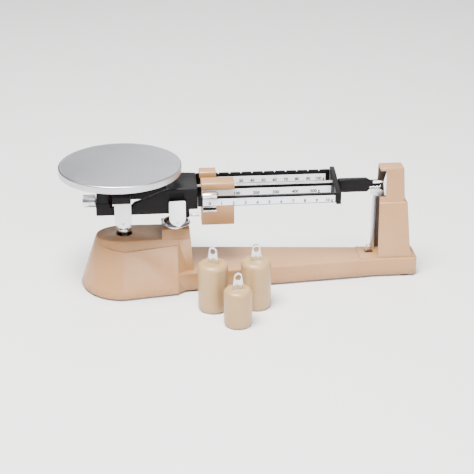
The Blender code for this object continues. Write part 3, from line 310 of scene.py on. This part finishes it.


# painted shade: a dark brown that stands in for the shadow inside the tower and in the slot beside the
# spring clip
hollowShadeLook = plainLook("paintedHollowShade", (0.055, 0.038, 0.030), (0.130, 0.090, 0.068), 0.62, 500)
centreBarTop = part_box("centre_bar")[1].z
panLow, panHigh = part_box("pan")
panCentre = (panLow + panHigh) / 2
looks = {
    "beige_paint": enamelLook("beigeEnamel", enamel["beige"], enamel["beigePale"], enamel["beigeGrime"]),
    "weight_paint": enamelLook("weightEnamel", enamel["weight"], enamel["weightPale"],
                               enamel["weightGrime"]),
    "black_paint": blackLook("blackEnamel"),
    "white_plastic": plasticLook("whitePlastic"),
    "scale_white": stripLook("scaleStrip"),
    "stainless": panLook("turnedStainless", panCentre),
    "bright_steel": metalLook("brightSteel", "bright", (1.0, 1.0, 0.2)),
    "knife_steel": metalLook("knifeSteel", "knife", (1.0, 0.1, 1.0)),
    "aluminium": metalLook("bareAluminium", "aluminium", (1.0, 1.0, 0.08), 700, 0.16),
    "bearing_stone": plainLook("bearingStone", (0.32, 0.06, 0.05), (0.50, 0.16, 0.12), 0.16, 600),
    "magnet_grey": plainLook("castMagnet", (0.07, 0.07, 0.075), (0.17, 0.165, 0.16), 0.50, 900, 0.3, 0.4),
    "rubber": plainLook("footRubber", (0.018, 0.018, 0.018), (0.060, 0.058, 0.055), 0.66, 1200, 0.0, 0.3),
}
barLook = blackLook("barEnamel", centreBarTop - black["bareBand"])
inkLook = plainLook("scaleInk", (0.006, 0.007, 0.010), (0.026, 0.028, 0.034), 0.50, 2500)
print("looks ready")


def deselect():
    if bpy.context.object and bpy.context.object.mode != "OBJECT":
        bpy.ops.object.mode_set(mode="OBJECT")
    bpy.ops.object.select_all(action="DESELECT")


def dress(piece, name, look, body, replaced=()):
    piece.name = name
    piece.data.name = name
    piece.data.materials.clear()
    piece.data.materials.append(look)
    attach(piece, body)
    if replaced:
        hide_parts(*replaced)


def applyModifiers(piece):
    bpy.context.view_layer.objects.active = piece
    for modifier in list(piece.modifiers):
        bpy.ops.object.modifier_apply(modifier=modifier.name)


def smooth(piece, angle=35):
    deselect()
    piece.select_set(True)
    bpy.context.view_layer.objects.active = piece
    bpy.ops.object.shade_smooth_by_angle(angle=math.radians(angle))


# piece name, rounding in metres, bevel segments
softened = {
    "base_casting": ("baseBody", 0.0011, 3),
    "tower_shell": ("towerBody", 0.0007, 3),
    "beam_frame": ("beamBody", 0.0005, 2),
    "pan_hanger": ("hangerBody", 0.0006, 3),
    "pan_boss": ("bossBody", 0.0003, 2),
    "pan_stem": ("stemBody", 0.0003, 2),
    "pan_cover_front": ("coverPanFront", 0.00045, 3),
    "pan_cover_rear": ("coverPanRear", 0.00045, 3),
    "fulcrum_cover_front": ("coverFulcrumFront", 0.00045, 3),
    "fulcrum_cover_rear": ("coverFulcrumRear", 0.00045, 3),
    "fulcrum_bracket": ("bracketBody", 0.0003, 2),
    "fulcrum_ring": ("ringBody", 0.00012, 2),
    "pan_rivet_front": ("rivetPanFront", 0.0001, 2),
    "pan_rivet_rear": ("rivetPanRear", 0.0001, 2),
    "fulcrum_rivet_front": ("rivetFulcrumFront", 0.0001, 2),
    "fulcrum_rivet_rear": ("rivetFulcrumRear", 0.0001, 2),
    "front_bar": ("frontBarBody", 0.00025, 2),
    "centre_bar": ("centreBarBody", 0.00020, 2),
    "rear_bar": ("rearBarBody", 0.00020, 2),
    "front_scale": ("frontStrip", 0.00008, 1),
    "centre_scale": ("centreStrip", 0.00008, 1),
    "rear_scale": ("rearStrip", 0.00008, 1),
    "crosshead": ("crossheadBody", 0.0006, 3),
    "pointer_arm": ("armBody", 0.0004, 2),
    "pointer": ("pointerTip", 0.00012, 2),
    "weight_hook": ("hookWire", 0.00008, 1),
    "vane_bracket": ("vaneClip", 0.00012, 2),
    "damper_vane": ("vanePlate", 0.00012, 1),
    "damper_side_plate": ("sidePlate", 0.00015, 2),
    "damper_magnet": ("magnetBody", 0.0004, 2),
    "spring_clip": ("clipStrip", 0.0001, 1),
    "index_plate": ("indexCard", 0.0001, 1),
    "balance_screw": ("balanceScrewBody", 0.0001, 2),
    "zero_stud": ("studBody", 0.0002, 2),
    "centre_poise": ("centrePoiseBody", 0.0007, 3),
    "rear_poise": ("rearPoiseBody", 0.0006, 3),
    "front_poise": ("frontRiderBody", 0.00022, 2),
    "weight_eye_left": ("eyeLeft", 0.0003, 2),
    "weight_eye_right": ("eyeRight", 0.0003, 2),
    "weight_eye_front": ("eyeFront", 0.0003, 2),
    "foot_front_left": ("footFrontLeft", 0.0003, 2),
    "foot_front_right": ("footFrontRight", 0.0003, 2),
    "foot_rear_left": ("footRearLeft", 0.0003, 2),
    "foot_rear_right": ("footRearRight", 0.0003, 2),
}


softening = {
    "merge": 0.000002,       # doubles closer than this are merged
    "flat": 0.6,             # degrees under which neighbouring faces become one
    "corner": 28,            # degrees over which an edge is rounded
    "shade": 40,             # degrees under which shading is smooth
}


def makeSoftened(nodeName, pieceName, rounding, segments):
    deselect()
    node = nodes[nodeName]
    node.select_set(True)
    bpy.context.view_layer.objects.active = node
    bpy.ops.object.duplicate()
    piece = bpy.context.object
    piece.parent = None
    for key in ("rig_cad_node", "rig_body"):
        if key in piece:
            del piece[key]
    bpy.ops.object.mode_set(mode="EDIT")
    bpy.ops.mesh.select_all(action="SELECT")
    bpy.ops.mesh.remove_doubles(threshold=softening["merge"])
    bpy.ops.mesh.dissolve_limited(angle_limit=math.radians(softening["flat"]))
    bpy.ops.mesh.normals_make_consistent(inside=False)
    bpy.ops.object.mode_set(mode="OBJECT")
    if piece.data.has_custom_normals:
        bpy.ops.mesh.customdata_custom_splitnormals_clear()
    edge = piece.modifiers.new("edge", "BEVEL")
    edge.width = rounding
    edge.segments = segments
    edge.limit_method = "ANGLE"
    edge.angle_limit = math.radians(softening["corner"])
    applyModifiers(piece)
    smooth(piece, softening["shade"])
    look = barLook if nodeName == "centre_bar" else looks[slotOf[nodeName]]
    dress(piece, pieceName, look, bodyOf[nodeName], (nodeName,))


for nodeName, (pieceName, rounding, segments) in softened.items():
    makeSoftened(nodeName, pieceName, rounding, segments)


hollows = {
    "towerAxis": 0.004,      # tower's inner axis, right of its middle
    "facing": 0.0015,        # how squarely a face must look at that axis
    "slotReach": 0.012,      # slot's faces lie this near the clip
    "slotFloor": 0.0225,
    "slotRise": 0.004,
}


# paints shade into hollows: faces inside the tower and the slot's walls beside the clip get the dark
# painted-shade material
def darkenHollows():
    low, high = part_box("tower_shell")
    middle = (low + high) / 2
    tower = bpy.data.objects["towerBody"]
    tower.data.materials.append(hollowShadeLook)
    for face in tower.data.polygons:
        place = face.center
        towards = Vector((middle.x + hollows["towerAxis"], middle.y, place.z)) - place
        if place.z < high.z - hollows["facing"] and face.normal.dot(towards) > hollows["facing"]:
            face.material_index = 1
    clipLow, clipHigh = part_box("spring_clip")
    clipY = (clipLow.y + clipHigh.y) / 2
    reach = hollows["slotReach"]
    base = bpy.data.objects["baseBody"]
    base.data.materials.append(hollowShadeLook)
    for face in base.data.polygons:
        place = face.center
        besideClip = clipLow.x - reach < place.x < clipHigh.x + reach and abs(place.y - clipY) < reach
        inSlot = hollows["slotFloor"] < place.z < clipLow.z + hollows["slotRise"]
        if besideClip and inSlot and face.normal.z < 0.5:
            face.material_index = 1


darkenHollows()
print("softened pieces ready")


def selectFaces(test):
    mesh = bmesh.from_edit_mesh(bpy.context.object.data)
    for face in mesh.faces:
        face.select = test(face)
    mesh.select_flush_mode()
    bmesh.update_edit_mesh(bpy.context.object.data)


def selectEdges(test):
    mesh = bmesh.from_edit_mesh(bpy.context.object.data)
    for vertex in mesh.verts:
        vertex.select = False
    for edge in mesh.edges:
        edge.select = test(edge)
    mesh.select_flush_mode()
    bmesh.update_edit_mesh(bpy.context.object.data)


def makePan():
    deselect()
    radius = (panHigh.x - panLow.x) / 2
    height = panHigh.z - panLow.z
    bpy.ops.mesh.primitive_cylinder_add(vertices=pan["segments"], radius=radius, depth=height,
                                        location=panCentre)
    piece = bpy.context.object
    bpy.ops.object.transform_apply(location=True, rotation=True, scale=True)
    bpy.ops.object.mode_set(mode="EDIT")
    bpy.ops.mesh.select_mode(type="FACE")
    selectFaces(lambda face: face.normal.z < -0.5)
    bpy.ops.mesh.delete(type="ONLY_FACE")
    bpy.ops.mesh.select_mode(type="EDGE")
    selectEdges(lambda edge: all(vertex.co.z > panHigh.z - 0.0001 for vertex in edge.verts))
    bpy.ops.mesh.bevel(offset=pan["lip"], segments=8)
    bpy.ops.mesh.select_mode(type="FACE")
    selectFaces(lambda face: face.normal.z > 0.999)
    bpy.ops.mesh.inset(thickness=0.0006)
    bpy.ops.mesh.inset(thickness=0.0008, depth=-pan["dish"])
    bpy.ops.mesh.inset(thickness=0.0006)
    for step in range(5):
        bpy.ops.mesh.inset(thickness=0.0120)
    bpy.ops.object.mode_set(mode="OBJECT")
    sheet = piece.modifiers.new("sheet", "SOLIDIFY")
    sheet.thickness = pan["sheet"]
    sheet.offset = -1
    applyModifiers(piece)
    smooth(piece, 40)
    dress(piece, "panDish", looks["stainless"], bodyOf["pan"], ("pan",))


makePan()
print("pan ready")

knob = {"flutes": 36, "fluteDepth": 0.0004, "chamfer": 0.0007, "plain": 0.45, "boreGap": 0.0003}


def makeKnob():
    low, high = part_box("zero_knob")
    centre = (low + high) / 2
    length = high.x - low.x
    deselect()
    bpy.ops.mesh.primitive_cylinder_add(vertices=knob["flutes"] * 2, radius=(high.z - low.z) / 2,
                                        depth=length, location=centre,
                                        rotation=(0, math.radians(90), 0))
    piece = bpy.context.object
    bpy.ops.object.transform_apply(location=True, rotation=True, scale=True)
    bpy.ops.object.mode_set(mode="EDIT")
    bpy.ops.mesh.select_mode(type="FACE")
    for share in (knob["plain"] - 0.06, knob["plain"], 0.94):
        bpy.ops.mesh.select_all(action="SELECT")
        bpy.ops.mesh.bisect(plane_co=(low.x + length * share, centre.y, centre.z), plane_no=(1, 0, 0))
    bpy.ops.mesh.select_mode(type="EDGE")
    selectEdges(lambda edge: all(abs(abs(vertex.co.x - centre.x) - length / 2) < 0.00005
                                 for vertex in edge.verts))
    bpy.ops.mesh.bevel(offset=knob["chamfer"], segments=2)
    bpy.ops.mesh.select_mode(type="FACE")
    fluteStart = low.x + length * knob["plain"]
    fluteEnd = low.x + length * 0.94

    def isFlute(face):
        middle = face.calc_center_median()
        turn = math.atan2(middle.z - centre.z, middle.y - centre.y) / (2 * math.pi)
        return (fluteStart - 0.0001 < min(v.co.x for v in face.verts)
                and max(v.co.x for v in face.verts) < fluteEnd + 0.0001
                and int((turn + 1) * knob["flutes"] * 2) % 2 == 0 and abs(face.normal.x) < 0.1)

    selectFaces(isFlute)
    bpy.ops.mesh.inset(thickness=0.00012, depth=-knob["fluteDepth"], use_individual=True)

    def isGroove(face):
        span = [v.co.x for v in face.verts]
        return (abs(face.normal.x) < 0.1 and min(span) > low.x + length * (knob["plain"] - 0.06) - 0.0001
                and max(span) < fluteStart + 0.0001)

    selectFaces(isGroove)
    bpy.ops.mesh.extrude_region_shrink_fatten(TRANSFORM_OT_shrink_fatten={"value": -0.0005})
    bpy.ops.mesh.select_all(action="SELECT")
    bpy.ops.mesh.remove_doubles(threshold=0.00001)
    bpy.ops.mesh.normals_make_consistent(inside=False)
    bpy.ops.object.mode_set(mode="OBJECT")
    studLow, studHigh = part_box("zero_stud")
    deselect()
    bpy.ops.mesh.primitive_cylinder_add(vertices=48, radius=(studHigh.z - studLow.z) / 2 + knob["boreGap"],
                                        depth=studHigh.x - studLow.x + 2 * knob["boreGap"],
                                        location=(studLow + studHigh) / 2,
                                        rotation=(0, math.radians(90), 0))
    cutter = bpy.context.object
    bore = piece.modifiers.new("bore", "BOOLEAN")
    bore.operation = "DIFFERENCE"
    bore.solver = "EXACT"
    bore.object = cutter
    bpy.context.view_layer.update()
    applyModifiers(piece)
    bpy.data.objects.remove(cutter)
    smooth(piece, 30)
    dress(piece, "zeroKnob", looks["bright_steel"], bodyOf["zero_knob"], ("zero_knob",))


makeKnob()
print("knob ready")

weights = {
    "left": {"turn": -24, "top": 0.0058, "bottom": 0.0042},
    "right": {"turn": 4, "top": 0.0058, "bottom": 0.0042},
    "front": {"turn": 10, "top": 0.0055, "bottom": 0.0042},
    "segments": 112,
    "slot": (0.0140, 0.0024, 0.0040),
}


def makeWeight(label):
    shape = weights[label]
    nodeName = f"weight_{label}"
    low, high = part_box(nodeName)
    centre = (low + high) / 2
    deselect()
    bpy.ops.mesh.primitive_cylinder_add(vertices=weights["segments"], radius=(high.x - low.x) / 2,
                                        depth=high.z - low.z, location=centre)
    piece = bpy.context.object
    bpy.ops.object.transform_apply(location=True, rotation=True, scale=True)
    bpy.ops.object.mode_set(mode="EDIT")
    bpy.ops.mesh.select_mode(type="EDGE")
    selectEdges(lambda edge: all(vertex.co.z > high.z - 0.0001 for vertex in edge.verts))
    bpy.ops.mesh.bevel(offset=shape["top"], segments=9)
    selectEdges(lambda edge: all(vertex.co.z < low.z + 0.0001 for vertex in edge.verts))
    bpy.ops.mesh.bevel(offset=shape["bottom"], segments=7)
    bpy.ops.mesh.select_mode(type="FACE")
    selectFaces(lambda face: face.normal.z > 0.999)
    bpy.ops.mesh.inset(thickness=0.0020)
    bpy.ops.mesh.inset(thickness=0.0004, depth=-0.00015)
    bpy.ops.object.mode_set(mode="OBJECT")
    deselect()
    bpy.ops.mesh.primitive_cube_add(size=1, location=(centre.x, centre.y, high.z),
                                    rotation=(0, 0, math.radians(shape["turn"])))
    cutter = bpy.context.object
    cutter.scale = weights["slot"]
    seat = piece.modifiers.new("seat", "BOOLEAN")
    seat.operation = "DIFFERENCE"
    seat.solver = "EXACT"
    seat.object = cutter
    bpy.context.view_layer.update()
    applyModifiers(piece)
    bpy.data.objects.remove(cutter)
    smooth(piece, 30)
    dress(piece, f"weightBody{label.title()}", looks["weight_paint"], bodyOf[nodeName],
          (nodeName,))


for label in ("left", "right", "front"):
    makeWeight(label)
print("weights ready")

# graduations: joint whose range the scale spans, units, minor step, middle step, numbered step
scales = {
    "front_scale": {"joint": "front_poise_slide", "poise": "front_poise", "full": 10, "minor": 0.1,
                    "middle": 0.5, "major": 1, "unit": "g"},
    "centre_scale": {"joint": "centre_poise_slide", "poise": "centre_poise", "full": 500, "minor": 0,
                     "middle": 0, "major": 100, "unit": "g"},
    "rear_scale": {"joint": "rear_poise_slide", "poise": "rear_poise", "full": 100, "minor": 0,
                   "middle": 0, "major": 10, "unit": "g"},
}
printing = {"ink": 0.00006, "line": 0.00022, "minor": 0.0012, "middle": 0.0018, "major": 0.0024,
            "digits": 0.0056, "digitDrop": 0.0010}


def addTicks(firstX, step, count, length, strip, made):
    low, high = strip
    deselect()
    bpy.ops.mesh.primitive_cube_add(size=1, location=(firstX, low.y - printing["ink"] * 0.5,
                                                      high.z - 0.0006 - length / 2))
    tick = bpy.context.object
    tick.scale = (printing["line"], printing["ink"], length)
    bpy.ops.object.transform_apply(location=True, rotation=True, scale=True)
    if count > 1:
        row = tick.modifiers.new("row", "ARRAY")
        row.count = count
        row.use_relative_offset = False
        row.use_constant_offset = True
        row.constant_offset_displace = (step, 0, 0)
        applyModifiers(tick)
    made.append(tick)


def addNumber(text, x, strip, made):
    low, high = strip
    deselect()
    bpy.ops.object.text_add(location=(0, 0, 0))
    letter = bpy.context.object
    letter.data.body = text
    letter.data.size = printing["digits"]
    letter.data.align_x = "CENTER"
    letter.data.extrude = printing["ink"] / 2
    letter.data.offset = 0.00022
    letter.data.resolution_u = 3
    bpy.ops.object.convert(target="MESH")
    letter = bpy.context.object
    letter.rotation_euler = (math.radians(90), 0, 0)
    letter.location = (x, low.y - printing["ink"] / 2, low.z + printing["digitDrop"])
    bpy.ops.object.transform_apply(location=True, rotation=True, scale=True)
    made.append(letter)


def makePrinting(nodeName, shape):
    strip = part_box(nodeName)
    poiseLow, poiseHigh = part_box(shape["poise"])
    zeroX = (poiseLow.x + poiseHigh.x) / 2
    travel = jointOf[shape["joint"]]["range_m"][1]
    perUnit = travel / shape["full"]
    made = []
    for key in ("minor", "middle", "major"):
        if shape[key]:
            step = shape[key] * perUnit
            addTicks(zeroX, step, int(round(travel / step)) + 1, printing[key], strip, made)
    for i in range(int(round(shape["full"] / shape["major"])) + 1):
        number = i * shape["major"]
        text = f"{number} {shape['unit']}" if number == shape["full"] else str(number)
        shift = 0.0006 if number == shape["full"] else 0
        addNumber(text, zeroX + number * perUnit + shift, strip, made)
    deselect()
    for part in made:
        part.select_set(True)
    bpy.context.view_layer.objects.active = made[0]
    bpy.ops.object.join()
    piece = bpy.context.object
    dress(piece, nodeName.split("_")[0] + "Printing", inkLook, bodyOf[nodeName])


for nodeName, shape in scales.items():
    makePrinting(nodeName, shape)
print("scales printed")

indexMark = {"length": 0.0030, "height": 0.0005, "ink": 0.00012, "inset": 0.0016}


def makeIndexMark():
    low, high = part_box("index_plate")
    pointerLow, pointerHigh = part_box("pointer")
    markX = low.x + indexMark["inset"]
    deselect()
    bpy.ops.mesh.primitive_cylinder_add(vertices=24, radius=indexMark["height"] / 2,
                                        depth=indexMark["ink"],
                                        location=(markX, low.y - indexMark["ink"] / 2,
                                                  (pointerLow.z + pointerHigh.z) / 2),
                                        rotation=(math.radians(90), 0, 0))
    piece = bpy.context.object
    bpy.ops.object.transform_apply(location=True, rotation=True, scale=True)
    bpy.ops.object.mode_set(mode="EDIT")
    bpy.ops.mesh.select_mode(type="FACE")
    selectFaces(lambda face: face.normal.y < -0.5)
    bpy.ops.mesh.inset(thickness=indexMark["height"] * 0.12, depth=0.00002)
    bpy.ops.mesh.select_all(action="SELECT")
    bpy.ops.transform.resize(value=(indexMark["length"] / indexMark["height"], 1, 1),
                             center_override=(markX, 0, 0))
    bpy.ops.object.mode_set(mode="OBJECT")
    dress(piece, "indexMark", inkLook, bodyOf["index_plate"])


makeIndexMark()
print("index mark ready")

for nodeName, node in nodes.items():
    if not node.hide_render:
        node.data.materials.clear()
        node.data.materials.append(looks[slotOf[nodeName]])

stage = {
    "floor": (0.80, 0.79, 0.785),
    "floorSize": 9.0,
    "world": (0.93, 0.95, 1.0),
    "worldStrength": 0.40,
    "lights": [
        ("keyLight", (-0.45, -0.55, 2.2), 1.3, 215.0, (1.0, 0.985, 0.965)),
        ("fillLight", (0.9, -2.2, 1.0), 1.4, 54.0, (1.0, 0.985, 0.97)),
        ("rimLight", (0.3, 1.6, 1.5), 1.6, 16.0, (1.0, 1.0, 1.0)),
    ],
    "aim": (0.0, 0.0, 0.07),
}


def makeStage():
    deselect()
    bpy.ops.mesh.primitive_plane_add(size=stage["floorSize"], location=(0, 0, 0))
    floor = bpy.context.object
    floor.name = "floor"
    look = Look("paleFloor")
    drift = look.ramp(look.noise(3, 3), 0.3, 0.7)
    look.put("Base Color", look.mix(drift, stage["floor"], tuple(c * 0.985 for c in stage["floor"])))
    look.put("Roughness", 0.55 + drift * 0.06)
    floor.data.materials.append(look.material)
    for name, place, size, power, colour in stage["lights"]:
        light = bpy.data.lights.new(name, "AREA")
        light.shape = "DISK"
        light.size = size
        light.energy = power
        light.color = colour
        holder = bpy.data.objects.new(name, light)
        bpy.context.scene.collection.objects.link(holder)
        holder.location = place
        aim = Vector(stage["aim"]) - Vector(place)
        holder.rotation_euler = aim.to_track_quat("-Z", "Y").to_euler()
    world = bpy.data.worlds.new("studio")
    world.use_nodes = True
    background = world.node_tree.nodes["Background"]
    background.inputs["Color"].default_value = (*stage["world"], 1)
    background.inputs["Strength"].default_value = stage["worldStrength"]
    bpy.context.scene.world = world


makeStage()

camera = {"place": (-0.1235, -1.3538, 0.6935), "tilt": 65.4, "turn": -4.86, "lens": 91.14}
viewer = bpy.data.cameras.new("viewer")
viewer.lens = camera["lens"]
viewer.sensor_width = 36
viewerHolder = bpy.data.objects.new("viewer", viewer)
bpy.context.scene.collection.objects.link(viewerHolder)
viewerHolder.location = camera["place"]
viewerHolder.rotation_euler = (math.radians(camera["tilt"]), 0, math.radians(camera["turn"]))
bpy.context.scene.camera = viewerHolder
print("stage ready")
